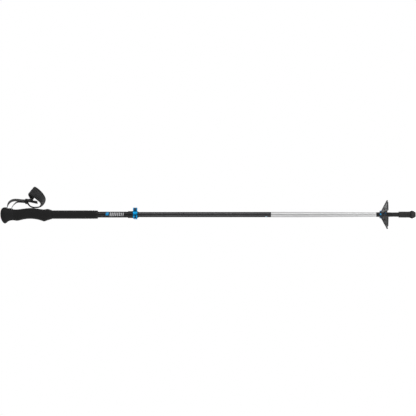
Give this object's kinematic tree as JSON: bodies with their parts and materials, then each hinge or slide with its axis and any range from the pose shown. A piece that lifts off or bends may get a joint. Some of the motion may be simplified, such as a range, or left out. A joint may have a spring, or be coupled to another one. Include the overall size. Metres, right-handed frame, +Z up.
{
  "type": "ski pole",
  "caption": "Adjustable ski touring pole with sculpted foam grip, padded wrist strap, lever lock, snow basket and a rubber foot over its carbide tip.",
  "frame": {"origin": "middle of the rubber foot's flat end, on the pole's axis", "axes": "+Z up the pole from the foot to the grip; +X to the palm side, where the strap leaves the grip; the lever lies on the -Y side"},
  "size_m": [0.1288, 0.0873, 1.2667],
  "materials": {
    "black_tube": "satin black coat over aluminium",
    "dark_tube": "dark grey satin coat over aluminium",
    "silver_tube": "brushed, clear anodised",
    "grip_foam": "closed-cell foam, matte",
    "grip_shell": "fine texture, matte",
    "black_rubber": "moulded, matte",
    "black_plastic": "moulded, satin",
    "natural_plastic": "natural acetal",
    "basket_plastic": "moulded, satin",
    "blue_metal": "blue anodised, satin",
    "blue_plastic": "soft moulded, satin",
    "steel": "turned",
    "carbide": "ground",
    "webbing": "woven",
    "band_fabric": "knitted over foam",
    "lining_fabric": "brushed"
  },
  "bodies": {
    "upper_shaft": {"upper_tube": "black_tube", "tube_top_plug": "black_plastic", "grip_core": "black_plastic", "grip_foam": "grip_foam", "grip_extension": "grip_foam", "grip_end_ring": "black_rubber", "grip_head": "grip_shell", "strap_wedge": "black_plastic", "strap_pin": "steel", "strap_anchor": "webbing", "clamp_collar": "black_plastic", "clamp_band": "blue_metal", "cam_saddle": "steel", "barrel_nut": "steel", "screw_washer": "steel"},
    "lock_screw": {"tension_screw": "steel"},
    "lock_lever": {"clamp_lever": "blue_metal"},
    "shaft_guide": {"guide_bush": "natural_plastic"},
    "lower_shaft": {"lower_tube_dark": "dark_tube", "lower_tube_silver": "silver_tube", "joint_ferrule": "silver_tube", "shaft_plug": "black_plastic", "tip_collar": "black_plastic", "flex_tip": "black_plastic", "tip_holder": "steel", "carbide_tip": "carbide"},
    "snow_basket": {"basket_cage": "basket_plastic", "basket_core": "blue_plastic"},
    "foot_cap": {"tip_cap": "black_rubber", "cap_disc": "steel"},
    "wrist_strap": {"strap_webbing": "webbing", "strap_keeper": "black_plastic", "wrist_band": "band_fabric", "band_lining": "lining_fabric", "strap_tail": "webbing", "tail_tab": "black_plastic"}
  },
  "joints": [
    {"name": "shaft_slide", "type": "slide", "parent": "upper_shaft", "child": "shaft_guide", "axis": [0, 0, 1], "range_m": [0, 0.26]},
    {"name": "shaft_turn", "type": "hinge", "parent": "shaft_guide", "child": "lower_shaft", "pos_m": [0, 0, 0.935], "axis": [0, 0, 1], "continuous": true},
    {"name": "lever_swing", "type": "hinge", "parent": "upper_shaft", "child": "lock_lever", "pos_m": [0.0162, -0.0101, 0.85525], "axis": [0, 0, 1], "range_deg": [0, 150]},
    {"name": "screw_turn", "type": "hinge", "parent": "upper_shaft", "child": "lock_screw", "pos_m": [0.0162, 0, 0.85525], "axis": [0, 1, 0], "continuous": true},
    {"name": "basket_turn", "type": "hinge", "parent": "lower_shaft", "child": "snow_basket", "pos_m": [0, 0, 0.1], "axis": [0, 0, 1], "continuous": true},
    {"name": "cap_pull", "type": "slide", "parent": "lower_shaft", "child": "foot_cap", "axis": [0, 0, -1], "range_m": [0, 0.04]},
    {"name": "strap_swing", "type": "hinge", "parent": "upper_shaft", "child": "wrist_strap", "pos_m": [0.0205, 0, 1.239], "axis": [0, -1, 0], "range_deg": [0, 60]}
  ]
}
